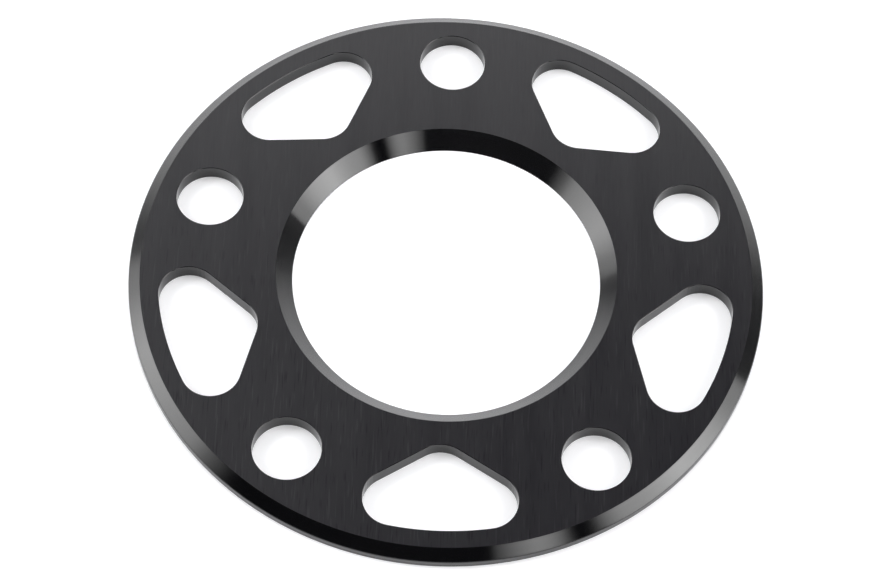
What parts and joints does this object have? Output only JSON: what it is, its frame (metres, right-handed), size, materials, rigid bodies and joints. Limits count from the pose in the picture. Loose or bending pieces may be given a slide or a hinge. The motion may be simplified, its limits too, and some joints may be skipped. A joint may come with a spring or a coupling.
{
  "type": "wheel spacer",
  "caption": "Flat round spacer plate for a road wheel, with a chamfered hub bore, a ring of bolt holes and rounded weight-saving windows, clamped between hub and wheel.",
  "frame": {"origin": "centre of the hub bore, in the plain lower face", "axes": "+Z along the bore's axis, from the plain face to the chamfered face; +Y through the middle of one bolt hole"},
  "size_m": [0.15, 0.15, 0.004],
  "materials": {
    "black_anodise": "black anodised, fine straight brush lines on the flat faces, smooth turned chamfers"
  },
  "bodies": {
    "root": {"spacer_plate": "black_anodise"}
  },
  "joints": []
}
